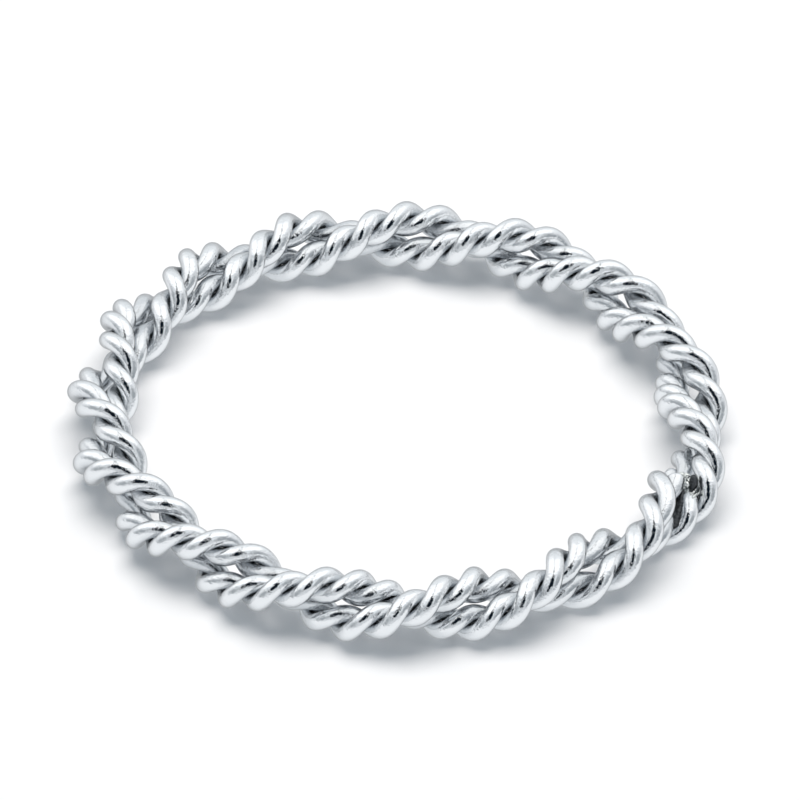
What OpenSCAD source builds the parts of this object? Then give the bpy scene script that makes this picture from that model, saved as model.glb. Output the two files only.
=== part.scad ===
// Rope twist finger ring: two cords twisted round each other, each cord twisted from two
// round silver wires, bent to a circle and soldered at one seam.
// The ring lies on its side: the finger axis is +Z, the surface is z = 0, and the origin is
// at the bottom centre.

/* [Ring] */
// Clear diameter where the finger goes
inner_d = 17.3; // [14:0.1:22]
// Angle of the soldered seam about the finger axis, counted from +X
seam_angle = 342; // [0:1:359]

/* [Wire] */
// Diameter of each of the four wires
wire_d = 0.6; // [0.4:0.05:0.8]
// Air between two wires where they lie against each other, so that each stays a solid
wire_clear = 0.03; // [0.02:0.01:0.06]
// Sides of a wire's section
wire_sides = 6; // [6:2:8]

/* [Twist] */
// Turns that the two cords make round each other on the way round the ring
cord_turns = 7.5; // [6:0.5:8]
// Turns that the two wires of a cord make round each other, against the cord's own turning
wire_turns = 20; // [17:1:22]
// Direction of the first cord at the seam, from outward towards up
cord_start = 180; // [0:1:359]
// Direction of the first wire in each cord at the seam
wire_start = [136, 114]; // [0:1:359]

/* [Seam] */
// Thickness of the solder between the cut ends
solder_t = 0.2; // [0.1:0.05:0.4]
// Air between the solder and the wires that it does not belong to
solder_clear = 0.08; // [0.06:0.01:0.12]
// How far the cut ends spring away from each other
end_splay = 0.06; // [0.05:0.01:0.1]
// Share of its diameter by which the cutter pinched each wire's end
end_pinch = 0.1; // [0.08:0.02:0.2]
// Radius of the solder joint as a share of the twisted bundle's radius
solder_fill = 0.8; // [0.6:0.05:0.9]

/* [Hidden] */

// Hand twisting is uneven. Each row is one place on the ring, evenly spaced from the seam
// round to the seam again. Columns: how far the cords run ahead of an even twist, how far the
// wires of cord a and of cord b run ahead of theirs, in degrees, and how far the bundle stands
// outside the true circle, as a share of the wire's diameter.
CORD_LEAD = 0;
WIRE_LEAD = 1;
BOW = 3;
uneven = [
    [  0,    0,    0,  0.28],
    [ -5,  -35,  -15, -0.04],
    [-14,  -32,  -39, -0.05],
    [-26,  -15,  -88,  0.00],
    [-33,    9,  -77,  0.11],
    [-27,    4, -100,  0.17],
    [-19,  -26, -102,  0.16],
    [-15,  -54, -112,  0.09],
    [-18,  -48, -136,  0.02],
    [ -8,  -31, -136, -0.05],
    [ -9,  -23, -138, -0.05],
    [ -3,  -21, -128, -0.01],
    [ -2,  -47,  -75, -0.02],
    [ -2,  -41,  -13, -0.13],
    [  8,  -58,   32, -0.16],
    [ 16,  -63,   69, -0.28],
    [ 17,  -47,   67, -0.36],
    [ 18,  -23,   45, -0.33],
    [ 13,  -52,   91, -0.22],
    [ 13,  -89,   75, -0.06],
    [ 14, -188,   41, -0.02],
    [ 17, -229,   59, -0.11],
    [ 18, -214,   82, -0.09],
    [  9, -146,   93,  0.05],
    [-17, -181,  154,  0.24],
];

wire_r = wire_d / 2;
flat_r = wire_r * cos(180 / wire_sides);
// From a cord's centre line to a wire's, from the bundle's to a cord's, and to its outside
pair_r = wire_r + wire_clear / 2;
cord_r = wire_d + wire_clear;
bundle_r = cord_r + pair_r + wire_r;
ring_r = inner_d / 2 + bundle_r;
floor_z = cord_r + pair_r + flat_r;
rings_per_turn = 16;
wire_rings = round(wire_turns * rings_per_turn);
// Share of the way round that half of the solder takes, without and with its clearance
solder_share = solder_t / 2 / (2 * PI * ring_r);
end_share = (solder_t / 2 + solder_clear) / (2 * PI * ring_r);
step_share = 0.0002;
// Length over which the ends spring apart and their sections turn to the cut
cut_blend = 2 * wire_d;

function unit(v) = v / norm(v);
function square_to(v, axis) = unit(v - (v * axis) * axis);
function outward(s) = let (a = seam_angle + 360 * s) [cos(a), sin(a), 0];
// 1 at the cut, falling to 0 over the blend
function near_cut(s) = min(1, max(0, 1 - min(s, 1 - s) * 2 * PI * ring_r / cut_blend));

// A column of the table at share s of the way round, on a smooth curve through the rows
function uneven_at(column, s) =
    let (last = len(uneven) - 1, x = min(max(s, 0), 1) * last, i = min(floor(x), last - 1), t = x - i)
    let (a = uneven[max(i - 1, 0)][column], b = uneven[i][column])
    let (c = uneven[i + 1][column], d = uneven[min(i + 2, last)][column])
    b + t * ((c - a) / 2 + t * (a - 2.5 * b + 2 * c - d / 2 + t * (3 * b - 3 * c + d - a) / 2));

// Centre line of a cord: 0 is cord a and 1 is cord b
function cord_angle(cord, s) = cord_start + 180 * cord + 360 * cord_turns * s + uneven_at(CORD_LEAD, s);
function cord_side(cord, s) = let (p = cord_angle(cord, s)) cos(p) * outward(s) + [0, 0, sin(p)];
function cord_point(cord, s) =
    (ring_r + wire_d * uneven_at(BOW, s)) * outward(s)
    + (cord_r + end_splay / 2 * near_cut(s)) * cord_side(cord, s);
function cord_along(cord, s) = unit(cord_point(cord, s + step_share) - cord_point(cord, s - step_share));

// Direction from a cord's centre line to one of its wires, 0 or 1, and that wire's centre line
function wire_angle(cord, wire, s) =
    wire_start[cord] + 180 * wire - 360 * wire_turns * s + uneven_at(WIRE_LEAD + cord, s);
function wire_side(cord, wire, s) =
    let (along = cord_along(cord, s), up = square_to(cord_side(cord, s), along), q = wire_angle(cord, wire, s))
    cos(q) * up + sin(q) * cross(along, up);
function wire_point(cord, wire, s) =
    cord_point(cord, s) + (pair_r + end_splay / 2 * near_cut(s)) * wire_side(cord, wire, s);

// A wire at share s: its centre, two directions across it and its travel. A flat of its
// section faces the other wire of its cord.
function wire_frame(cord, wire, s) =
    let (travel = (wire_point(cord, wire, s + step_share) - wire_point(cord, wire, s - step_share))
        / (2 * step_share))
    let (x = square_to(wire_side(cord, wire, s), unit(travel)))
    [wire_point(cord, wire, s), x, cross(unit(travel), x), travel];
function on_skin(frame, k, near) = let (a = (k + 0.5) * 360 / wire_sides)
    frame[0] + wire_r * (1 - end_pinch * near) * (cos(a) * frame[1] + sin(a) * frame[2]);

// One section of a wire. Near the seam its points slide along the wire, so that the section
// turns from square across the wire to square across the bundle, where it was cut.
function wire_section(cord, wire, s) =
    let (frame = wire_frame(cord, wire, s), bundle = cross([0, 0, 1], outward(s)), near = near_cut(s))
    [for (k = [0 : wire_sides - 1]) let (p = on_skin(frame, k, near))
        near == 0 ? p
            : on_skin(wire_frame(cord, wire, s - near * (p * bundle) / (frame[3] * bundle)), k, near)];

// Skin of a closed tube through rings of n points each
function tube_faces(n, rings) = concat(
    [[for (k = [0 : n - 1]) k]],
    [for (i = [0 : rings - 2], k = [0 : n - 1], half = [0, 1])
        let (a = i * n + k, b = i * n + (k + 1) % n)
        half == 0 ? [a, b + n, b] : [a, a + n, b + n]],
    [[for (k = [n - 1 : -1 : 0]) (rings - 1) * n + k]]);

// One wire, once round the ring between two shares of the way
module wire(cord, wire, from = end_share, to = 1 - end_share) {
    points = [for (i = [0 : wire_rings - 1])
        each wire_section(cord, wire, from + (to - from) * i / (wire_rings - 1))];
    translate([0, 0, floor_z]) polyhedron(points, tube_faces(wire_sides, wire_rings));
}

// The solder that joins the cut ends: a thin lump across the bundle, fuller in the middle
module solder_lump() {
    sides = 16;
    lump_r = solder_fill * bundle_r;
    centre = (ring_r + wire_d * uneven_at(BOW, 0)) * outward(0);
    along = cross([0, 0, 1], outward(0));
    rim = [[-0.5, 0.86], [-0.22, 1], [0.22, 1], [0.5, 0.86]];
    points = [for (step = rim, k = [0 : sides - 1])
        let (a = k * 360 / sides, r = lump_r * step[1] * (1 + 0.06 * cos(2 * a + 2 * cord_start)))
        centre + step[0] * solder_t * along + r * (cos(a) * outward(0) - [0, 0, sin(a)])];
    translate([0, 0, floor_z]) polyhedron(points, tube_faces(sides, len(rim)));
}

// Cord a, first wire, in one solid with the solder that its two ends run into
module wire_a1() {
    color("silver") union() {
        wire(0, 0, solder_share / 2, 1 - solder_share / 2);
        solder_lump();
    }
}

// Cord a, second wire
module wire_a2() {
    color("gainsboro") wire(0, 1);
}

// Cord b, first wire
module wire_b1() {
    color("lightgray") wire(1, 0);
}

// Cord b, second wire
module wire_b2() {
    color("darkgray") wire(1, 1);
}

wire_a1();
wire_a2();
wire_b1();
wire_b2();
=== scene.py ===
"""Rope twist finger ring: four drawn silver wires in two cords, soldered at one seam.

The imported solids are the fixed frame. Each wire's solid is replaced by a round, finely swept
wire in the same place, and the solder joint by drops that ran into each other between them.
Sizes are in millimetres until a finished mesh is scaled to metres.
"""

from __future__ import annotations

import logging
import math
from dataclasses import dataclass
from enum import Enum
from typing import Any, Callable, Sequence, Union

import bpy
from mathutils import Matrix, Vector

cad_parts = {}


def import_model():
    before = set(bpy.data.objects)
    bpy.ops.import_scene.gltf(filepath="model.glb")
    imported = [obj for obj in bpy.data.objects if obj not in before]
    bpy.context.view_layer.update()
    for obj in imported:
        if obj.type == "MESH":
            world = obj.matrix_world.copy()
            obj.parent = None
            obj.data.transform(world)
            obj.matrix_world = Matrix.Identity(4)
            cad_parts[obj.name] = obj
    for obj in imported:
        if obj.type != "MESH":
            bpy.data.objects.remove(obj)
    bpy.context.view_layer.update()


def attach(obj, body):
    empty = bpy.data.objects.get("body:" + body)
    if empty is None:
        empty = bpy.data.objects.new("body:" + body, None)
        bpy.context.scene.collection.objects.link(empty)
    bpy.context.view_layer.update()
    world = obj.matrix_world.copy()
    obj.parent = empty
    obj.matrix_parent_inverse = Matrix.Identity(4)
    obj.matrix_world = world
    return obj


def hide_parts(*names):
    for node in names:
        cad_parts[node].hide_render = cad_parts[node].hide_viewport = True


LOG = logging.getLogger("rope_ring")
METRES_PER_MM = 0.001
ROOT = "root"
NODES_PER_ROW = 12
NODE_STEP = (190, -230)

Socket = bpy.types.NodeSocket
Value = Union[Socket, float, Sequence[float]]


class Cord(Enum):
    """The two cords of the rope, with the half turn between them."""

    A = 0
    B = 1


class Wire(Enum):
    """The two wires of a cord, with the half turn between them."""

    FIRST = 0
    SECOND = 1


class Ray(Enum):
    """The rays that the sheet and the studio's surroundings answer differently."""

    CAMERA = "Is Camera Ray"
    DIFFUSE = "Is Diffuse Ray"
    GLOSSY = "Is Glossy Ray"


class Tree:
    """Adds nodes to a node tree and joins their sockets."""

    def __init__(self, tree: bpy.types.NodeTree) -> None:
        """Wraps a geometry or shader tree."""
        self.tree = tree
        self.count = 0

    def join(self, value: Value, socket: Socket) -> None:
        """Links a socket to an input, or sets the input's own value."""
        if isinstance(value, bpy.types.NodeSocket):
            self.tree.links.new(value, socket)
        else:
            socket.default_value = value

    def add(self, kind: str, inputs: dict[Any, Value] | None = None, **settings: Any) -> bpy.types.Node:
        """Adds one node.

        Args:
            kind: The node's type name.
            inputs: Values for its inputs, by name or index.
            settings: The node's own properties, such as an operation.

        Returns:
            The new node.
        """
        node = self.tree.nodes.new(kind)
        row, place = divmod(self.count, NODES_PER_ROW)
        node.location = (NODE_STEP[0] * place, NODE_STEP[1] * row)
        self.count += 1
        for name, setting in settings.items():
            setattr(node, name, setting)
        for key, value in (inputs or {}).items():
            self.join(value, node.inputs[key])
        return node

    def maths(self, operation: str, *values: Value, clamp: bool = False) -> Socket:
        """Adds a Math node.

        Args:
            operation: The node's operation.
            values: Its inputs in order.
            clamp: Whether the result is held between 0 and 1.

        Returns:
            The result's socket.
        """
        node = self.add("ShaderNodeMath", dict(enumerate(values)), operation=operation, use_clamp=clamp)
        return node.outputs[0]

    def vector(self, operation: str, *values: Value) -> Socket:
        """Adds a Vector Math node with a vector result.

        Args:
            operation: The node's operation.
            values: Its inputs in order. For SCALE the second is the factor.

        Returns:
            The result's socket.
        """
        node = self.add("ShaderNodeVectorMath", operation=operation)
        for index, value in enumerate(values):
            is_factor = operation == "SCALE" and index == 1
            self.join(value, node.inputs["Scale"] if is_factor else node.inputs[index])
        return node.outputs["Vector"]

    def measure(self, operation: str, *values: Value) -> Socket:
        """Adds a Vector Math node with a number as its result, such as LENGTH."""
        node = self.add("ShaderNodeVectorMath", dict(enumerate(values)), operation=operation)
        return node.outputs["Value"]

    def combine(self, x: Value, y: Value, z: Value) -> Socket:
        """Makes a vector from three numbers."""
        return self.add("ShaderNodeCombineXYZ", {0: x, 1: y, 2: z}).outputs[0]

    def noise(self, place: Socket | None, scale: Value, detail: float, roughness: float = 0.5) -> Socket:
        """Adds a Noise Texture node.

        Args:
            place: Where the noise is read, or None for the points' own places.
            scale: Its scale.
            detail: Its detail.
            roughness: Its roughness.

        Returns:
            The noise's socket.
        """
        inputs = {"Scale": scale, "Detail": detail, "Roughness": roughness}
        if place is not None:
            inputs["Vector"] = place
        return self.add("ShaderNodeTexNoise", inputs).outputs["Fac"]

    def ramp(self, value: Value, stops: Sequence[tuple[float, Sequence[float]]]) -> Socket:
        """Adds a Color Ramp node.

        Args:
            value: The factor.
            stops: Positions with their colours, in rising order.

        Returns:
            The colour's socket.
        """
        node = self.add("ShaderNodeValToRGB", {0: value})
        elements = node.color_ramp.elements
        while len(elements) < len(stops):
            elements.new(0.5)
        for element, (position, colour) in zip(elements, stops):
            element.position = position
            element.color = (*colour, 1.0) if len(colour) == 3 else colour
        return node.outputs[0]

    def mix(self, factor: Value, first: Value, second: Value) -> Socket:
        """Mixes two colours.

        Args:
            factor: How much of the second.
            first: The first colour.
            second: The second colour.

        Returns:
            The mixed colour's socket.
        """
        node = self.add("ShaderNodeMix", data_type="RGBA")
        for identifier, value in (("Factor_Float", factor), ("A_Color", first), ("B_Color", second)):
            socket = next(item for item in node.inputs if item.identifier == identifier)
            if not isinstance(value, bpy.types.NodeSocket) and identifier != "Factor_Float":
                value = (*value, 1.0) if len(value) == 3 else value
            self.join(value, socket)
        return next(item for item in node.outputs if item.identifier == "Result_Color")


def new_object(name: str, data: bpy.types.ID) -> bpy.types.Object:
    """Makes an object and links it to the scene."""
    made = bpy.data.objects.new(name, data)
    bpy.context.scene.collection.objects.link(made)
    return made


def add_numbers(group: bpy.types.NodeTree, numbers: dict[str, float]) -> None:
    """Gives a node group inputs for numbers. An int makes a whole-number input."""
    for name, default in numbers.items():
        kind = "NodeSocketInt" if isinstance(default, int) else "NodeSocketFloat"
        group.interface.new_socket(name, in_out="INPUT", socket_type=kind).default_value = default


def start_group(name: str, numbers: dict[str, float]) -> tuple[Tree, dict[str, Socket]]:
    """Starts a geometry node group that takes a geometry, numbers and a material.

    Args:
        name: The group's name.
        numbers: Its numbers, by name, with their defaults.

    Returns:
        The group's tree and its inputs, by name.
    """
    group = bpy.data.node_groups.new(name, "GeometryNodeTree")
    face = group.interface
    face.new_socket("Geometry", in_out="INPUT", socket_type="NodeSocketGeometry")
    add_numbers(group, numbers)
    face.new_socket("Material", in_out="INPUT", socket_type="NodeSocketMaterial")
    face.new_socket("Geometry", in_out="OUTPUT", socket_type="NodeSocketGeometry")
    tree = Tree(group)
    return tree, {s.name: s for s in tree.add("NodeGroupInput").outputs}


def end_group(tree: Tree, body: Socket, material: Socket) -> bpy.types.NodeTree:
    """Ends a geometry node group with its material and with instances made real."""
    body = tree.add("GeometryNodeSetMaterial", {"Geometry": body, "Material": material}).outputs[0]
    body = tree.add("GeometryNodeRealizeInstances", {0: body}).outputs[0]
    tree.join(body, tree.add("NodeGroupOutput").inputs[0])
    return tree.tree


# Twist of the rope


@dataclass(frozen=True)
class TwistRow:
    """One place on the hand-twisted rope, against an even twist.

    Attributes:
        cords: How far the cords run ahead, in degrees.
        wires_a: How far cord a's wires run ahead, in degrees.
        wires_b: How far cord b's wires run ahead, in degrees.
        bow: How far the bundle stands outside the true circle, in wire diameters.
    """

    cords: float
    wires_a: float
    wires_b: float
    bow: float


UNEVEN_TWIST: tuple[TwistRow, ...] = (
    TwistRow(cords=0, wires_a=0, wires_b=0, bow=0.28),
    TwistRow(cords=-5, wires_a=-35, wires_b=-15, bow=-0.04),
    TwistRow(cords=-14, wires_a=-32, wires_b=-39, bow=-0.05),
    TwistRow(cords=-26, wires_a=-15, wires_b=-88, bow=0.00),
    TwistRow(cords=-33, wires_a=9, wires_b=-77, bow=0.11),
    TwistRow(cords=-27, wires_a=4, wires_b=-100, bow=0.17),
    TwistRow(cords=-19, wires_a=-26, wires_b=-102, bow=0.16),
    TwistRow(cords=-15, wires_a=-54, wires_b=-112, bow=0.09),
    TwistRow(cords=-18, wires_a=-48, wires_b=-136, bow=0.02),
    TwistRow(cords=-8, wires_a=-31, wires_b=-136, bow=-0.05),
    TwistRow(cords=-9, wires_a=-23, wires_b=-138, bow=-0.05),
    TwistRow(cords=-3, wires_a=-21, wires_b=-128, bow=-0.01),
    TwistRow(cords=-2, wires_a=-47, wires_b=-75, bow=-0.02),
    TwistRow(cords=-2, wires_a=-41, wires_b=-13, bow=-0.13),
    TwistRow(cords=8, wires_a=-58, wires_b=32, bow=-0.16),
    TwistRow(cords=16, wires_a=-63, wires_b=69, bow=-0.28),
    TwistRow(cords=17, wires_a=-47, wires_b=67, bow=-0.36),
    TwistRow(cords=18, wires_a=-23, wires_b=45, bow=-0.33),
    TwistRow(cords=13, wires_a=-52, wires_b=91, bow=-0.22),
    TwistRow(cords=13, wires_a=-89, wires_b=75, bow=-0.06),
    TwistRow(cords=14, wires_a=-188, wires_b=41, bow=-0.02),
    TwistRow(cords=17, wires_a=-229, wires_b=59, bow=-0.11),
    TwistRow(cords=18, wires_a=-214, wires_b=82, bow=-0.09),
    TwistRow(cords=9, wires_a=-146, wires_b=93, bow=0.05),
    TwistRow(cords=-17, wires_a=-181, wires_b=154, bow=0.24),
)


def along_rows(values: Sequence[float], share: float) -> float:
    """Reads a column on a smooth curve through its evenly spaced rows.

    Args:
        values: The column.
        share: Share of the way from the first row to the last.

    Returns:
        The value there.
    """
    last = len(values) - 1
    place = min(max(share, 0.0), 1.0) * last
    row = min(int(place), last - 1)
    t = place - row
    a, b = values[max(row - 1, 0)], values[row]
    c, d = values[row + 1], values[min(row + 2, last)]
    return b + t * ((c - a) / 2 + t * (a - 2.5 * b + 2 * c - d / 2 + t * (3 * b - 3 * c + d - a) / 2))


# Finishes


class SharedGroup(Enum):
    """Shader groups that more than one finish uses."""

    PITS = "polished pits and dents"
    HOLLOWS = "darker hollows"


def shader_group(kind: SharedGroup, numbers: dict[str, float], results: Sequence[str],
                 fill: Callable[[Tree, dict[str, Socket], dict[str, Socket]], None]) -> bpy.types.NodeTree:
    """Makes a shader node group once and finds it again after that.

    Args:
        kind: The group's name.
        numbers: Its inputs, by name, with their defaults.
        results: Names of the numbers that it puts out.
        fill: Adds the group's nodes, given its tree, inputs and outputs.

    Returns:
        The group.
    """
    found = bpy.data.node_groups.get(kind.value)
    if found is not None:
        return found
    group = bpy.data.node_groups.new(kind.value, "ShaderNodeTree")
    add_numbers(group, numbers)
    for name in results:
        group.interface.new_socket(name, in_out="OUTPUT", socket_type="NodeSocketFloat")
    tree = Tree(group)
    start, end = tree.add("NodeGroupInput"), tree.add("NodeGroupOutput")
    fill(tree, {s.name: s for s in start.outputs}, {s.name: s for s in end.inputs})
    return group


def pits_group() -> bpy.types.NodeTree:
    """Builds the group of small dents, pits and polishing lines.

    Returns:
        The group. It puts out a height and a mask of the pits.
    """

    def fill(tree: Tree, given: dict[str, Socket], out: dict[str, Socket]) -> None:
        """Adds the nodes of the pits."""
        place = tree.add("ShaderNodeTexCoord").outputs["Object"]
        dents = tree.noise(place, given["Dent scale"], detail=2.0, roughness=0.45)
        pits = tree.noise(place, given["Pit scale"], detail=3.0, roughness=0.6)
        grain = tree.noise(place, given["Grain scale"], detail=2.0, roughness=0.6)
        sharp = tree.ramp(pits, ((0.55, (0, 0, 0)), (0.72, (1, 1, 1))))
        deep = tree.maths("MULTIPLY", sharp, given["Pit depth"])
        low = tree.maths("MULTIPLY", dents, given["Dent depth"])
        fine = tree.maths("MULTIPLY_ADD", grain, given["Grain depth"], low)
        tree.join(tree.maths("SUBTRACT", fine, deep), out["Height"])
        tree.join(sharp, out["Pits"])

    return shader_group(SharedGroup.PITS, {
        "Dent scale": 900.0, "Dent depth": 1.0, "Grain scale": 9000.0, "Grain depth": 0.5,
        "Pit scale": 6000.0, "Pit depth": 0.3}, ("Height", "Pits"), fill)


def hollows_group() -> bpy.types.NodeTree:
    """Builds the group that finds the hollows between wires and breaks their edge up.

    Returns:
        The group. It puts out a mask from 0 on the crests to 1 in the hollows.
    """

    def fill(tree: Tree, given: dict[str, Socket], out: dict[str, Socket]) -> None:
        """Adds the nodes of the hollows."""
        depth = tree.add("ShaderNodeAttribute", attribute_name="hollow").outputs["Fac"]
        place = tree.add("ShaderNodeTexCoord").outputs["Object"]
        noise = tree.noise(place, given["Cloud scale"], detail=3.0)
        ragged = tree.maths("MULTIPLY", tree.maths("SUBTRACT", noise, 0.5), given["Raggedness"])
        raised = tree.maths("ADD", depth, ragged)
        spread = tree.add("ShaderNodeMapRange", {0: raised, 1: given["From"], 2: given["To"]})
        tree.join(spread.outputs[0], out["Mask"])

    return shader_group(SharedGroup.HOLLOWS, {
        "From": 0.18, "To": 0.65, "Raggedness": 0.25, "Cloud scale": 2500.0}, ("Mask",), fill)


@dataclass(frozen=True)
class SilverFinish:
    """Silver or what the soldering left on it, darker and rougher towards the hollows between wires.

    Attributes:
        name: The material's name.
        bright: Colour of the polished metal.
        dull: Colour of the metal in the hollows.
        roughness: Roughness on the crests.
        dull_roughness: Roughness in the hollows.
        rim: Share of the light that the metal keeps where it is seen edge on.
        draw_marks: Height of the lines that the drawing die left along the wire, in millimetres.
        dent_depth: Height of the shallow dents, in millimetres.
        grain_depth: Height of the fine unevenness that polishing left, in millimetres.
        pit_depth: Depth of the fine pits, in millimetres.
        pit_roughness: Roughness that the pits add.
    """

    name: str
    bright: tuple[float, float, float] = (0.975, 0.982, 0.99)
    dull: tuple[float, float, float] = (0.72, 0.74, 0.76)
    roughness: float = 0.04
    dull_roughness: float = 0.14
    rim: float = 0.48
    draw_marks: float = 0.0008
    dent_depth: float = 0.005
    grain_depth: float = 0.011
    pit_depth: float = 0.005
    pit_roughness: float = 0.12

    def build(self) -> bpy.types.Material:
        """Makes the material.

        Returns:
            The material, with its nodes.
        """
        material = bpy.data.materials.new(self.name)
        material.use_nodes = True
        tree = Tree(material.node_tree)
        shader = material.node_tree.nodes["Principled BSDF"]
        shader.inputs["Metallic"].default_value = 1.0
        shader.inputs["Specular Tint"].default_value = (self.rim, self.rim, self.rim, 1.0)
        hollows = tree.add("ShaderNodeGroup", node_tree=hollows_group())
        pits = tree.add("ShaderNodeGroup", node_tree=pits_group())
        for key, value in (("Dent depth", self.dent_depth), ("Grain depth", self.grain_depth),
                           ("Pit depth", self.pit_depth)):
            pits.inputs[key].default_value = value
        mask = hollows.outputs["Mask"]
        tree.join(tree.mix(mask, self.bright, self.dull), shader.inputs["Base Color"])
        place = tree.add("ShaderNodeTexCoord").outputs["Object"]
        cloud = tree.noise(place, 1400.0, detail=2.0)
        polish = tree.add("ShaderNodeMapRange", {0: cloud, 1: 0.3, 2: 0.7,
                                                 3: self.roughness * 0.7, 4: self.roughness * 1.5})
        worn = tree.maths("MULTIPLY_ADD", pits.outputs["Pits"], self.pit_roughness, polish.outputs[0])
        dulled = tree.maths("MULTIPLY", mask, self.dull_roughness)
        tree.join(tree.maths("ADD", worn, dulled, clamp=True), shader.inputs["Roughness"])
        lay = tree.add("ShaderNodeAttribute", attribute_name="lay").outputs["Vector"]
        lines = tree.noise(lay, 9.0, detail=4.0, roughness=0.7)
        marks = tree.maths("MULTIPLY", lines, self.draw_marks)
        height = tree.maths("ADD", pits.outputs["Height"], marks)
        bump = tree.add("ShaderNodeBump", {"Height": height, "Distance": METRES_PER_MM, "Strength": 1.0})
        tree.join(bump.outputs["Normal"], shader.inputs["Normal"])
        return material


@dataclass(frozen=True)
class FloorFinish:
    """Matt white sheet that the ring lies on. The metal mirrors a painted glow in it that no lamp gives.

    Attributes:
        colour: The sheet's colour.
        grain: Share by which its grain darkens it.
        painted_reflection_near: Painted glow that the metal mirrors in the sheet round the ring.
        painted_reflection_far: Painted glow that the metal mirrors in the sheet's far parts.
        painted_reflection_share: How much of the painted glow the metal mirrors, against the sheet with its
            shadows.
        near: Distance from the ring where the painted glow starts to dim, in metres.
        far: Distance where the painted glow is dimmest, in metres.
    """

    colour: tuple[float, float, float] = (0.93, 0.93, 0.935)
    grain: float = 0.01
    painted_reflection_near: tuple[float, float, float] = (0.79, 0.827, 0.858)
    painted_reflection_far: tuple[float, float, float] = (0.56, 0.59, 0.62)
    painted_reflection_share: float = 0.72
    near: float = 0.008
    far: float = 0.08

    def build(self) -> bpy.types.Material:
        """Makes the material.

        Returns:
            The material, with its nodes.
        """
        material = bpy.data.materials.new("matt white sheet")
        material.use_nodes = True
        tree = Tree(material.node_tree)
        shader = material.node_tree.nodes["Principled BSDF"]
        shader.inputs["Roughness"].default_value = 0.9
        shader.inputs["Specular IOR Level"].default_value = 0.1
        place = tree.add("ShaderNodeTexCoord").outputs["Object"]
        grain = tree.noise(place, 300.0, detail=2.0)
        tone = tree.ramp(grain, ((0.3, tuple((1 - self.grain) * c for c in self.colour)), (0.7, self.colour)))
        tree.join(tone, shader.inputs["Base Color"])
        # Painted reflection: an emission that only mirrored rays see, dimmer away from the ring
        away = tree.measure("LENGTH", place)
        spread = tree.add("ShaderNodeMapRange", {0: away, 1: self.near, 2: self.far}).outputs[0]
        painted_glow = tree.add("ShaderNodeEmission", {"Color": tree.mix(spread, self.painted_reflection_near, self.painted_reflection_far)})
        mirrored = tree.maths("MULTIPLY", tree.add("ShaderNodeLightPath").outputs[Ray.GLOSSY.value],
                              self.painted_reflection_share)
        both = tree.add("ShaderNodeMixShader", {0: mirrored, 1: shader.outputs[0], 2: painted_glow.outputs[0]})
        tree.join(both.outputs[0], material.node_tree.nodes["Material Output"].inputs["Surface"])
        return material


# The ring


class CutEnd(Enum):
    """The two cut ends of a wire: where it leaves the seam and where it comes back to it."""

    LEAVING = 0
    RETURNING = 1


@dataclass(frozen=True)
class Overlap:
    """A wire's end that isn't cut at the seam itself.

    Attributes:
        cord: The wire's cord.
        wire: The wire.
        end: Which of its ends.
        past: How far past the seam it is cut, in millimetres, below 0 for before the seam.
    """

    cord: Cord
    wire: Wire
    end: CutEnd
    past: float


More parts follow.
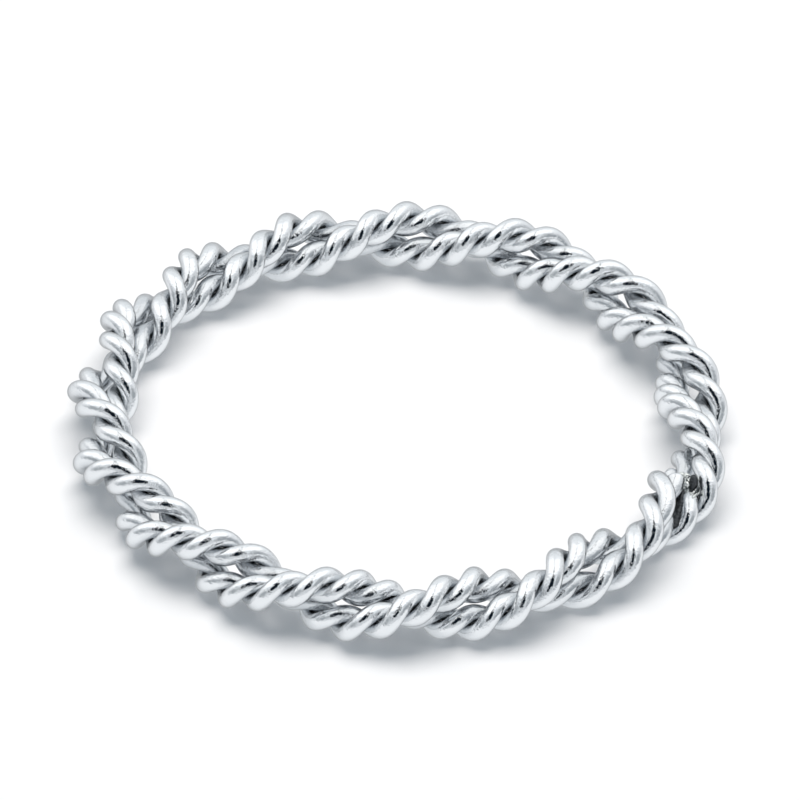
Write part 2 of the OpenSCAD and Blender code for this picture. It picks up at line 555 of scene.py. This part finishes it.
@dataclass
class RopeWires:
    """The four wires of the rope, each swept once round the ring.

    Attributes:
        finish: The wires' finish.
        inner_diameter: Clear diameter where the finger goes.
        wire_diameter: Diameter of a wire.
        solid_clear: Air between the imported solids' wires.
        touch: Air left here between wires, where the solids have more.
        seam_angle: Angle of the seam, in degrees from +X.
        cord_turns: Turns of the cords round each other.
        wire_turns: Turns of the wires in a cord, against the cords' turning.
        cord_start: Direction of cord a at the seam, in degrees.
        wire_starts: Direction of each cord's first wire at the seam, in degrees.
        end_gap: Length that each end stops short of its cut.
        overlaps: The ends that aren't cut at the seam itself.
        end_splay: How far the cut ends spring apart.
        end_blend: Length over which they spring apart.
        end_round: Length over which a cut end is rounded off, as a share of the wire's radius.
        end_loss: Share of the section's area that is rounded off at the cut.
        lay_stretch: Spacing of the draw marks' pattern along the wire, against across it.
        rings: Sections along a wire.
        sides: Sides of a section.
        rows: The uneven twist.
    """

    finish: SilverFinish
    inner_diameter: float = 17.3
    wire_diameter: float = 0.6
    solid_clear: float = 0.03
    touch: float = 0.004
    seam_angle: float = 342.0
    cord_turns: float = 7.5
    wire_turns: float = 20.0
    cord_start: float = 180.0
    wire_starts: tuple[float, float] = (136.0, 114.0)
    end_gap: float = 0.06
    overlaps: tuple[Overlap, ...] = (
        Overlap(Cord.A, Wire.FIRST, CutEnd.RETURNING, 1.2),
        Overlap(Cord.A, Wire.FIRST, CutEnd.LEAVING, 0.9),
        Overlap(Cord.B, Wire.SECOND, CutEnd.LEAVING, 1.2),
        Overlap(Cord.B, Wire.SECOND, CutEnd.RETURNING, -0.3))
    end_splay: float = 0.04
    end_blend: float = 1.2
    end_round: float = 0.2
    end_loss: float = 0.4
    lay_stretch: float = 0.04
    rings: int = 1500
    sides: int = 24
    rows: tuple[TwistRow, ...] = UNEVEN_TWIST

    @property
    def wire_radius(self) -> float:
        """Radius of a wire."""
        return self.wire_diameter / 2

    @property
    def ring_radius(self) -> float:
        """Radius of the circle that the bundle's centre follows."""
        return self.inner_diameter / 2 + 2 * self.wire_diameter + 1.5 * self.solid_clear

    @property
    def floor_height(self) -> float:
        """Height of the bundle's centre over the surface."""
        flat = self.wire_radius * math.cos(math.pi / 6)
        return self.wire_diameter + 1.5 * self.solid_clear + self.wire_radius + flat

    @property
    def pair_radius(self) -> float:
        """Distance from a cord's centre line to its wires' centre lines."""
        return self.wire_radius + self.touch / 2

    @property
    def cord_radius(self) -> float:
        """Distance from the bundle's centre line to a cord's centre line."""
        return self.wire_diameter + self.touch

    def length(self) -> float:
        """Length of the circle that the bundle's centre follows."""
        return 2 * math.pi * self.ring_radius

    def column(self, read: Callable[[TwistRow], float], share: float) -> float:
        """Reads one column of the uneven twist at a share of the way round from the seam."""
        return along_rows([read(row) for row in self.rows], share)

    def past_seam(self, cord: Cord, wire: Wire, end: CutEnd) -> float:
        """Finds how far past the seam a wire's end is cut."""
        return sum(o.past for o in self.overlaps if (o.cord, o.wire, o.end) == (cord, wire, end))

    def guide(self, name: str, cord: Cord, wire: Wire) -> bpy.types.Object:
        """Makes the line of points that a wire's node tree places on the rope.

        Args:
            name: The object's name.
            cord: The cord that the wire is in.
            wire: Which of the cord's two wires it is.

        Returns:
            An object of loose edges, with the twist at each point as attributes.
        """
        first = (self.past_seam(cord, wire, CutEnd.LEAVING) + self.end_gap) / self.length()
        last = 1 + (self.past_seam(cord, wire, CutEnd.RETURNING) - self.end_gap) / self.length()
        shares = [first + (last - first) * i / (self.rings - 1) for i in range(self.rings)]
        mesh = bpy.data.meshes.new(name)
        mesh.from_pydata([(s, 0, 0) for s in shares], [(i, i + 1) for i in range(self.rings - 1)], [])
        read_wires = (lambda row: row.wires_a) if cord is Cord.A else (lambda row: row.wires_b)
        columns: dict[str, list[float]] = {"share": shares, "cord turn": [], "wire turn": [],
                                           "bow": [], "splay": [], "fullness": []}
        for share in shares:
            cords = self.column(lambda row: row.cords, share)
            from_cut = min(share - first, last - share) * self.length()
            near = max(0.0, 1 - from_cut / self.end_blend)
            columns["cord turn"].append(math.radians(
                self.cord_start + 180 * cord.value + 360 * self.cord_turns * share + cords))
            columns["wire turn"].append(math.radians(
                self.wire_starts[cord.value] + 180 * wire.value - 360 * self.wire_turns * share
                + self.column(read_wires, share)))
            columns["bow"].append(self.wire_diameter * self.column(lambda row: row.bow, share))
            columns["splay"].append(self.end_splay / 2 * near)
            rounding = min(1.0, from_cut / (self.end_round * self.wire_radius) + 0.02)
            columns["fullness"].append(math.sqrt(1 - self.end_loss * (1 - rounding) ** 2))
        for key, values in columns.items():
            mesh.attributes.new(key, "FLOAT", "POINT").data.foreach_set("value", values)
        return new_object(name, mesh)

    def tree(self) -> bpy.types.NodeTree:
        """Builds the node tree that lays a guide's points on the rope and sweeps a wire there.

        Returns:
            The geometry node tree, with its sizes as named inputs.
        """
        tree, given = start_group("wire of a rope", {
            "Ring Radius": self.ring_radius, "Cord Radius": self.cord_radius, "Pair Radius": self.pair_radius,
            "Wire Radius": self.wire_radius, "Floor Height": self.floor_height,
            "Seam At": math.radians(self.seam_angle), "Sides": self.sides})

        def named(name: str) -> Socket:
            """Reads a point attribute of the guide."""
            return tree.add("GeometryNodeInputNamedAttribute", {"Name": name}, data_type="FLOAT").outputs[0]

        def keep(geometry: Socket, name: str, value: Socket, kind: str = "FLOAT_VECTOR") -> Socket:
            """Stores a point attribute and passes the geometry on."""
            node = tree.add("GeometryNodeStoreNamedAttribute", data_type=kind, domain="POINT")
            tree.join(geometry, node.inputs["Geometry"])
            node.inputs["Name"].default_value = name
            tree.join(value, node.inputs["Value"])
            return node.outputs[0]

        def kept(name: str) -> Socket:
            """Reads a stored vector."""
            return tree.add("GeometryNodeInputNamedAttribute", {"Name": name},
                            data_type="FLOAT_VECTOR").outputs[0]

        line = tree.add("GeometryNodeMeshToCurve", {0: given["Geometry"]}).outputs[0]
        angle = tree.maths("MULTIPLY_ADD", named("share"), 2 * math.pi, given["Seam At"])
        out = tree.combine(tree.maths("COSINE", angle), tree.maths("SINE", angle), 0.0)
        turn = named("cord turn")
        side = tree.vector("ADD", tree.vector("SCALE", out, tree.maths("COSINE", turn)),
                           tree.combine(0.0, 0.0, tree.maths("SINE", turn)))
        middle = tree.vector("ADD", tree.vector(
            "SCALE", out, tree.maths("ADD", given["Ring Radius"], named("bow"))),
            tree.combine(0.0, 0.0, given["Floor Height"]))
        spread = tree.maths("ADD", given["Cord Radius"], named("splay"))
        line = keep(line, "bundle middle", middle)
        line = keep(line, "cord side", side)
        reach = tree.vector("SCALE", kept("cord side"), spread)
        cord_middle = tree.vector("ADD", kept("bundle middle"), reach)
        line = tree.add("GeometryNodeSetPosition", {"Geometry": line, "Position": cord_middle}).outputs[0]

        here = tree.add("GeometryNodeInputPosition").outputs[0]
        along = tree.add("GeometryNodeInputTangent").outputs[0]
        line = keep(line, "cord middle", here)
        line = keep(line, "cord along", along)
        along = kept("cord along")
        sideways = tree.vector("SCALE", along, tree.measure("DOT_PRODUCT", kept("cord side"), along))
        up = tree.vector("NORMALIZE", tree.vector("SUBTRACT", kept("cord side"), sideways))
        across = tree.vector("CROSS_PRODUCT", along, up)
        turn = named("wire turn")
        wire_side = tree.vector("ADD", tree.vector("SCALE", up, tree.maths("COSINE", turn)),
                                tree.vector("SCALE", across, tree.maths("SINE", turn)))
        line = keep(line, "wire side", wire_side)
        reach = tree.maths("ADD", given["Pair Radius"], named("splay"))
        wire_middle = tree.vector("ADD", kept("cord middle"), tree.vector("SCALE", kept("wire side"), reach))
        line = tree.add("GeometryNodeSetPosition", {"Geometry": line, "Position": wire_middle}).outputs[0]
        line = keep(line, "wire middle", here)
        line = keep(line, "wire along", tree.add("GeometryNodeInputTangent").outputs[0])

        circle = tree.add("GeometryNodeCurvePrimitiveCircle", {"Resolution": given["Sides"]}, mode="RADIUS")
        tree.join(given["Wire Radius"], circle.inputs["Radius"])
        sweep = tree.add("GeometryNodeCurveToMesh", {"Curve": line, "Profile Curve": circle.outputs[0],
                                                     "Scale": named("fullness"), "Fill Caps": True})
        body = tree.add("GeometryNodeSetShadeSmooth", {"Geometry": sweep.outputs[0]}).outputs[0]

        outward = tree.vector("SUBTRACT", here, kept("wire middle"))
        third = tree.vector("CROSS_PRODUCT", kept("wire along"), kept("wire side"))
        lay = tree.combine(
            tree.measure("DOT_PRODUCT", outward, kept("wire side")),
            tree.measure("DOT_PRODUCT", outward, third),
            tree.maths("MULTIPLY", named("share"), self.lay_stretch * self.length()))
        per_radius = 1 / self.wire_radius
        body = keep(body, "lay", tree.vector("MULTIPLY", lay, (per_radius, per_radius, 1.0)))
        in_cord = tree.maths("DIVIDE", tree.measure("DISTANCE", here, kept("cord middle")),
                             tree.maths("ADD", given["Pair Radius"], given["Wire Radius"]))
        in_bundle = tree.maths("DIVIDE", tree.measure("DISTANCE", here, kept("bundle middle")),
                               tree.maths("ADD", given["Cord Radius"], given["Pair Radius"]))
        crest = tree.maths("MINIMUM", in_cord, in_bundle)
        body = keep(body, "hollow", tree.maths("SUBTRACT", 1.0, crest, clamp=True), "FLOAT")
        return end_group(tree, body, given["Material"])

    def build(self) -> dict[str, bpy.types.Object]:
        """Makes the four wires.

        Returns:
            Each wire's object, by the name of its solid.
        """
        material = self.finish.build()
        group = self.tree()
        pieces = {}
        for cord in Cord:
            for wire in Wire:
                node = f"wire_{cord.name.lower()}{wire.value + 1}"
                guide = self.guide(node + "_guide", cord, wire)
                pieces[node] = bake_nodes(guide, group, node + "_drawn", material)
        return pieces


def bake_nodes(guide: bpy.types.Object, group: bpy.types.NodeTree, name: str,
               material: bpy.types.Material) -> bpy.types.Object:
    """Runs a geometry node tree on an object and keeps the result as a plain mesh in metres.

    Args:
        guide: The object that the tree starts from. It is deleted.
        group: The tree.
        name: Name of the new object.
        material: What the new object is made of.

    Returns:
        The new object, at the origin.
    """
    modifier = guide.modifiers.new("nodes", "NODES")
    modifier.node_group = group
    socket = next(item for item in group.interface.items_tree if item.name == "Material")
    modifier[socket.identifier] = material
    depsgraph = bpy.context.evaluated_depsgraph_get()
    mesh = bpy.data.meshes.new_from_object(guide.evaluated_get(depsgraph),
                                           preserve_all_data_layers=True, depsgraph=depsgraph)
    guide.modifiers.clear()
    bpy.data.objects.remove(guide)
    mesh.name = name
    mesh.transform(Matrix.Scale(METRES_PER_MM, 4))
    wanted = {"position", "hollow", "lay", "sharp_face", "material_index"}
    for key in [a.name for a in mesh.attributes if a.name not in wanted and not a.is_internal]:
        attribute = mesh.attributes.get(key)
        if attribute is not None and not attribute.is_required:
            mesh.attributes.remove(attribute)
    return new_object(name, mesh)


@dataclass(frozen=True)
class Blob:
    """One drop of solder, or of painted shade, placed in the bundle's cross-section at the seam.

    Attributes:
        along: Distance past the seam.
        out: Distance from the bundle's centre, away from the finger.
        up: Distance above the bundle's centre.
        radius: The drop's radius.
    """

    along: float
    out: float
    up: float
    radius: float


def trickle(first: Blob, last: Blob, drops: int) -> list[Blob]:
    """Lines drops up so closely that they flow into one short run.

    Args:
        first: The drop at one end.
        last: The drop at the other end.
        drops: How many drops, with the two at the ends.

    Returns:
        The drops.
    """

    def part_way(read: Callable[[Blob], float], share: float) -> float:
        """Mixes one measure of the two end drops."""
        return read(first) + (read(last) - read(first)) * share

    shares = [i / (drops - 1) for i in range(drops)]
    return [Blob(along=part_way(lambda b: b.along, share), out=part_way(lambda b: b.out, share),
                 up=part_way(lambda b: b.up, share), radius=first.radius) for share in shares]


SOLDER_DROPS: tuple[Blob, ...] = (
    # The body that fills the middle of the rope at the cut
    Blob(along=0.06, out=-0.05, up=-0.05, radius=0.30),
    Blob(along=0.08, out=-0.34, up=-0.12, radius=0.26),
    Blob(along=0.05, out=0.22, up=-0.20, radius=0.24),
    # Crumbs that stand up between the wires
    Blob(along=-0.15, out=-0.11, up=0.45, radius=0.12),
    Blob(along=-0.13, out=0.08, up=0.49, radius=0.10),
    Blob(along=-0.20, out=0.00, up=0.32, radius=0.13),
    Blob(along=-0.24, out=0.13, up=0.22, radius=0.12),
    Blob(along=-0.28, out=0.00, up=0.12, radius=0.13),
    # Two trickles that ran down over the next wire's end
    *trickle(Blob(along=-0.62, out=0.43, up=0.20, radius=0.05),
             Blob(along=-0.30, out=0.45, up=0.12, radius=0.05), drops=7),
    *trickle(Blob(along=-0.70, out=0.535, up=0.18, radius=0.05),
             Blob(along=-0.28, out=0.575, up=0.03, radius=0.05), drops=8),
)
GREY_SHADE_DROPS: tuple[Blob, ...] = (
    # Painted shade: grey drops between the wires beyond the joint, where that spot lies in shade
    Blob(along=1.42, out=-0.17, up=0.21, radius=0.12),
    Blob(along=1.36, out=-0.16, up=0.13, radius=0.13),
    Blob(along=1.30, out=-0.15, up=0.05, radius=0.13),
    Blob(along=1.24, out=-0.15, up=-0.03, radius=0.13),
    Blob(along=1.18, out=-0.15, up=-0.11, radius=0.12),
)
PAINTED_SHADE_DROPS: tuple[Blob, ...] = (
    # Painted shade: black drops put in the pit beside the joint, which lies in shadow
    Blob(along=-0.08, out=0.30, up=0.40, radius=0.12),
    Blob(along=-0.10, out=0.31, up=0.32, radius=0.14),
    Blob(along=-0.12, out=0.32, up=0.24, radius=0.15),
    Blob(along=-0.12, out=0.32, up=0.16, radius=0.14),
    Blob(along=-0.12, out=0.30, up=0.08, radius=0.12),
    # Painted shade: black drops along the valley below it, where the hollow in the rope lies in shadow
    Blob(along=-0.50, out=0.02, up=-0.15, radius=0.20),
    Blob(along=-0.75, out=0.10, up=-0.19, radius=0.20),
    Blob(along=-1.00, out=0.15, up=-0.26, radius=0.20),
    Blob(along=-1.30, out=0.20, up=-0.32, radius=0.18),
    Blob(along=-1.60, out=0.24, up=-0.38, radius=0.16),
    *trickle(Blob(along=-0.56, out=0.11, up=0.10, radius=0.085),
             Blob(along=-0.93, out=0.23, up=-0.01, radius=0.085), drops=5),
    *trickle(Blob(along=-0.93, out=0.23, up=-0.01, radius=0.10),
             Blob(along=-1.56, out=0.37, up=-0.37, radius=0.10), drops=8),
)


@dataclass
class MeltedDrops:
    """Drops at the seam that have flowed together into one lump with a rough skin: solder, or black and grey
    painted shade.

    Attributes:
        name: The lump's name.
        finish: The lump's finish.
        rope: The wires that it lies between.
        blobs: The drops.
        voxel: Size of the cells that the drops are melted in.
        roughening: How far the skin stands off the melted drops.
    """

    name: str
    finish: SilverFinish
    rope: RopeWires
    blobs: tuple[Blob, ...]
    voxel: float = 0.022
    roughening: float = 0.04

    def tree(self) -> bpy.types.NodeTree:
        """Builds the node tree that melts the drops into one lump.

        Returns:
            The geometry node tree.
        """
        tree, given = start_group(self.name + " melted", {
            "Voxel Size": self.voxel, "Roughening": self.roughening})
        radius = tree.add("GeometryNodeInputNamedAttribute", {"Name": "drop"}, data_type="FLOAT").outputs[0]
        points = tree.add("GeometryNodeMeshToPoints", {"Mesh": given["Geometry"], "Radius": radius})
        volume = tree.add("GeometryNodePointsToVolume", {"Points": points.outputs[0], "Density": 1.0})
        volume.resolution_mode = "VOXEL_SIZE"
        tree.join(given["Voxel Size"], volume.inputs["Voxel Size"])
        tree.join(radius, volume.inputs["Radius"])
        lump = tree.add("GeometryNodeVolumeToMesh", {"Volume": volume.outputs[0], "Threshold": 0.1})
        noise = tree.noise(None, 7.0, detail=3.0, roughness=0.6)
        amount = tree.maths("MULTIPLY", tree.maths("SUBTRACT", noise, 0.5), given["Roughening"])
        shift = tree.vector("SCALE", tree.add("GeometryNodeInputNormal").outputs[0],
                            tree.maths("MULTIPLY", amount, 2.0))
        body = tree.add("GeometryNodeSetPosition", {"Geometry": lump.outputs[0], "Offset": shift}).outputs[0]
        body = tree.add("GeometryNodeSetShadeSmooth", {"Geometry": body}).outputs[0]
        return end_group(tree, body, given["Material"])

    def build(self) -> bpy.types.Object:
        """Makes the lump.

        Returns:
            The lump, at the origin.
        """
        places = []
        for blob in self.blobs:
            angle = math.radians(self.rope.seam_angle) + blob.along / self.rope.ring_radius
            bow = self.rope.column(lambda row: row.bow, (blob.along / self.rope.length()) % 1.0)
            reach = self.rope.ring_radius + self.rope.wire_diameter * bow + blob.out
            height = self.rope.floor_height + blob.up
            places.append((reach * math.cos(angle), reach * math.sin(angle), height))
        mesh = bpy.data.meshes.new(self.name + "_drops")
        mesh.from_pydata(places, [], [])
        radii = [blob.radius for blob in self.blobs]
        mesh.attributes.new("drop", "FLOAT", "POINT").data.foreach_set("value", radii)
        guide = new_object(self.name + "_drops", mesh)
        return bake_nodes(guide, self.tree(), self.name, self.finish.build())


def fuse(parts: Sequence[bpy.types.Object], name: str) -> bpy.types.Object:
    """Joins pieces into one object that keeps their materials and attributes.

    Args:
        parts: The pieces, the one to keep first.
        name: The joined object's name.

    Returns:
        The joined object.
    """
    with bpy.context.temp_override(active_object=parts[0], object=parts[0], selected_objects=parts,
                                   selected_editable_objects=parts):
        bpy.ops.object.join()
    parts[0].name = name
    return parts[0]


# The studio


@dataclass(frozen=True)
class Patch:
    """A light or dark area round the ring, placed as a mirror ball beside the ring would show it.

    Attributes:
        middle: Place on the ball's image, right and up, where the ball's rim is 1.
        size: Half width and half height there.
        colour: Light from the patch.
        edge: Share of the size over which the patch fades out.
        squareness: 2 for an ellipse, more for a boxier outline.
    """

    middle: tuple[float, float]
    size: tuple[float, float]
    colour: tuple[float, float, float]
    edge: float = 0.3
    squareness: float = 2.0

    def lay_over(self, tree: Tree, ball: tuple[Socket, Socket], colour: Socket) -> Socket:
        """Adds the nodes that lay the patch over a colour.

        Args:
            tree: The world's tree.
            ball: Place on the ball's image, right and up.
            colour: What lies behind the patch.

        Returns:
            The colour with the patch in front.
        """
        powers = []
        for place, middle, size in zip(ball, self.middle, self.size):
            off = tree.maths("ABSOLUTE", tree.maths("MULTIPLY_ADD", place, 1 / size, -middle / size))
            powers.append(tree.maths("POWER", off, self.squareness))
        off = tree.maths("POWER", tree.maths("ADD", *powers), 1 / self.squareness)
        mask = tree.add("ShaderNodeMapRange", {0: off, 1: 1 + self.edge / 2, 2: 1 - self.edge / 2},
                        interpolation_type="SMOOTHSTEP").outputs[0]
        return tree.mix(mask, colour, self.colour)


TENT: tuple[Patch, ...] = (
    # White panels over the camera, with the dark gap between them where its arm comes through
    Patch(middle=(-0.05, 0.465), size=(0.61, 0.215), colour=(1.07, 1.09, 1.10), edge=0.35, squareness=3.0),
    Patch(middle=(-0.04, 0.50), size=(0.022, 0.24), colour=(0.25, 0.28, 0.30), edge=1.0),
    # Dim ends of the room to the left and right
    Patch(middle=(-0.52, -0.04), size=(0.18, 0.19), colour=(0.345, 0.375, 0.40), edge=0.9),
    Patch(middle=(0.48, -0.07), size=(0.19, 0.20), colour=(0.325, 0.355, 0.38), edge=0.9),
    # White cards beside the camera
    Patch(middle=(0.21, 0.08), size=(0.08, 0.15), colour=(0.72, 0.76, 0.79), edge=0.8),
    Patch(middle=(-0.37, 0.17), size=(0.10, 0.09), colour=(0.68, 0.72, 0.75), edge=0.8),
    # Dim side of the room, far to the right
    Patch(middle=(0.98, 0.22), size=(0.13, 0.42), colour=(0.30, 0.325, 0.35), edge=1.0),
    # The camera, with the bracket that it hangs from
    Patch(middle=(-0.08, 0.22), size=(0.075, 0.11), colour=(0.02, 0.024, 0.03), edge=0.6),
    Patch(middle=(-0.06, 0.05), size=(0.195, 0.18), colour=(0.006, 0.010, 0.016), edge=0.2, squareness=2.5),
)


# Tones of the room as a mirror ball shows it, from its bottom edge to its top edge
ROOM_TONES: tuple[tuple[float, tuple[float, float, float]], ...] = (
    (0.33, (0.62, 0.65, 0.68)), (0.43, (0.57, 0.60, 0.63)), (0.53, (0.55, 0.58, 0.61)),
    (0.58, (0.60, 0.63, 0.66)), (0.64, (0.74, 0.77, 0.80)), (0.84, (0.84, 0.88, 0.91)),
    (0.92, (0.78, 0.82, 0.85)), (0.99, (0.66, 0.70, 0.73)),
)


@dataclass
class Studio:
    """White sheet, a soft light behind the ring, surroundings and the camera.

    Attributes:
        floor: The sheet's finish.
        sheet_size: Side of the sheet, in metres.
        camera_elevation: Height of the view over the sheet, in degrees.
        camera_roll: Roll of the camera, in degrees.
        camera_distance: Distance from the camera to the ring's centre, in metres.
        frame_width: Width of the image at the ring, in metres.
        frame_offset: How far right of and above the image's centre the ring's centre lies, in metres.
        key_azimuth: Direction of the light, in degrees from +X.
        key_elevation: Height of the light, in degrees.
        key_distance: Distance of the light, in metres.
        key_size: Width and height of the light, in metres.
        key_power: Power of the light, in watts.
        key_colour: Colour of the light.
        fill: Light from the surroundings on matt surfaces.
        patches: What the polished wires mirror, from back to front.
    """

    floor: FloorFinish
    sheet_size: float = 3.0
    camera_elevation: float = 38.55
    camera_roll: float = 1.48
    camera_distance: float = 0.2968
    frame_width: float = 0.02655
    frame_offset: tuple[float, float] = (-0.000102, -0.000598)
    key_azimuth: float = 100.0
    key_elevation: float = 79.0
    key_distance: float = 0.6
    key_size: tuple[float, float] = (0.62, 0.44)
    key_power: float = 3.65
    key_colour: tuple[float, float, float] = (1.0, 0.955, 0.92)
    fill: tuple[float, float, float] = (0.29, 0.34, 0.38)
    patches: tuple[Patch, ...] = TENT

    def view_axes(self) -> tuple[Vector, Vector, Vector]:
        """Works out the camera's right, up and backward directions.

        Returns:
            The three directions.
        """
        tilt, roll = math.radians(self.camera_elevation), math.radians(self.camera_roll)
        back = Vector((0.0, -math.cos(tilt), math.sin(tilt)))
        right, up = Vector((1.0, 0.0, 0.0)), Vector((0.0, math.sin(tilt), math.cos(tilt)))
        turned = right * math.cos(roll) + up * math.sin(roll)
        return turned, up * math.cos(roll) - right * math.sin(roll), back

    def place_camera(self, target: Vector) -> None:
        """Makes the camera, aimed at the ring's centre, and gives it to the scene."""
        right, up, back = self.view_axes()
        lens = bpy.data.cameras.new("view")
        lens.sensor_width = 36.0
        lens.lens = lens.sensor_width * self.camera_distance / self.frame_width
        lens.clip_start = 0.01
        lens.clip_end = 20.0
        camera = new_object("view", lens)
        aim = target - right * self.frame_offset[0] - up * self.frame_offset[1]
        turn = Matrix((right, up, back)).transposed().to_4x4()
        camera.matrix_world = Matrix.Translation(aim + back * self.camera_distance) @ turn
        bpy.context.scene.camera = camera

    def place_light(self, target: Vector) -> None:
        """Makes the soft light behind the ring's centre."""
        turn, rise = math.radians(self.key_azimuth), math.radians(self.key_elevation)
        direction = Vector((math.cos(rise) * math.cos(turn), math.cos(rise) * math.sin(turn), math.sin(rise)))
        light = bpy.data.lights.new("softbox", "AREA")
        light.shape = "RECTANGLE"
        light.size, light.size_y = self.key_size
        light.energy = self.key_power
        light.color = self.key_colour
        lamp = new_object("softbox", light)
        lamp.visible_glossy = False
        lamp.location = target + direction * self.key_distance
        lamp.rotation_euler = (-direction).to_track_quat("-Z", "Y").to_euler()

    def place_surroundings(self) -> None:
        """Makes the white tent, with the dark camera in it, as the world."""
        world = bpy.data.worlds.new("tent")
        bpy.context.scene.world = world
        world.use_nodes = True
        tree = Tree(world.node_tree)
        background = world.node_tree.nodes["Background"]
        way = tree.add("ShaderNodeTexCoord").outputs["Generated"]
        right, up, back = self.view_axes()
        across = tree.measure("DOT_PRODUCT", way, tuple(right))
        over = tree.measure("DOT_PRODUCT", way, tuple(up))
        towards = tree.measure("DOT_PRODUCT", way, tuple(back))
        # A little over 2, so that the way straight through the ball isn't divided by zero
        spread = tree.maths("SQRT", tree.maths("MULTIPLY_ADD", towards, 2.0, 2.0001))
        ball = (tree.maths("DIVIDE", across, spread), tree.maths("DIVIDE", over, spread))
        seen = tree.ramp(tree.maths("MULTIPLY_ADD", ball[1], 0.5, 0.5), ROOM_TONES)
        for patch in self.patches:
            seen = patch.lay_over(tree, ball, seen)
        rays = tree.add("ShaderNodeLightPath").outputs
        colour = tree.mix(rays[Ray.DIFFUSE.value], seen, self.fill)
        colour = tree.mix(rays[Ray.CAMERA.value], colour, (1.0, 1.0, 1.0))
        tree.join(colour, background.inputs["Color"])

    def build(self, target: Vector) -> None:
        """Makes the studio.

        Args:
            target: The ring's centre, in metres.
        """
        half = self.sheet_size / 2
        mesh = bpy.data.meshes.new("sheet")
        mesh.from_pydata([(-half, -half, 0), (half, -half, 0), (half, half, 0), (-half, half, 0)],
                         [], [(0, 1, 2, 3)])
        mesh.materials.append(self.floor.build())
        sheet = new_object("sheet", mesh)
        self.place_camera(target)
        self.place_light(target)
        self.place_surroundings()
        bpy.context.scene.view_settings.view_transform = "Standard"
        bpy.context.scene.view_settings.look = "None"


def main() -> None:
    """Loads the frame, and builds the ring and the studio."""
    logging.basicConfig(level=logging.INFO, format="%(name)s: %(message)s")
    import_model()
    rope = RopeWires(finish=SilverFinish(name="polished silver wire"))
    wires = rope.build()
    solder = MeltedDrops("solder_lump", rope=rope, blobs=SOLDER_DROPS, finish=SilverFinish(
        name="silver solder", bright=(0.93, 0.94, 0.91), dull=(0.80, 0.81, 0.78), roughness=0.10,
        dull_roughness=0.1, grain_depth=0.03))
    # Black drops of painted shade in the pit and the valley beside the joint
    painted_pit_shade = MeltedDrops("flux_lump", rope=rope, blobs=PAINTED_SHADE_DROPS, finish=SilverFinish(
        name="scorched flux", bright=(0.10, 0.105, 0.11), dull=(0.06, 0.062, 0.065), roughness=0.35,
        grain_depth=0.03))
    # Grey drops of painted shade between the wires beyond the joint
    painted_grey_shade = MeltedDrops("tarnished_film", rope=rope, blobs=GREY_SHADE_DROPS, finish=SilverFinish(
        name="tarnished solder", bright=(0.42, 0.44, 0.46), dull=(0.30, 0.32, 0.34), roughness=0.22,
        grain_depth=0.02))
    joint = [lump.build() for lump in (solder, painted_grey_shade, painted_pit_shade)]
    wires["wire_a1"] = fuse([wires["wire_a1"], *joint], "wire_a1_with_solder")
    for node, piece in wires.items():
        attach(piece, ROOT)
        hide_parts(node)
        LOG.info("%s stands for %s: %d faces", piece.name, node, len(piece.data.polygons))
    centre = Vector((0.0, 0.0, rope.floor_height * METRES_PER_MM))
    Studio(floor=FloorFinish()).build(centre)


if __name__ == "__main__":
    main()
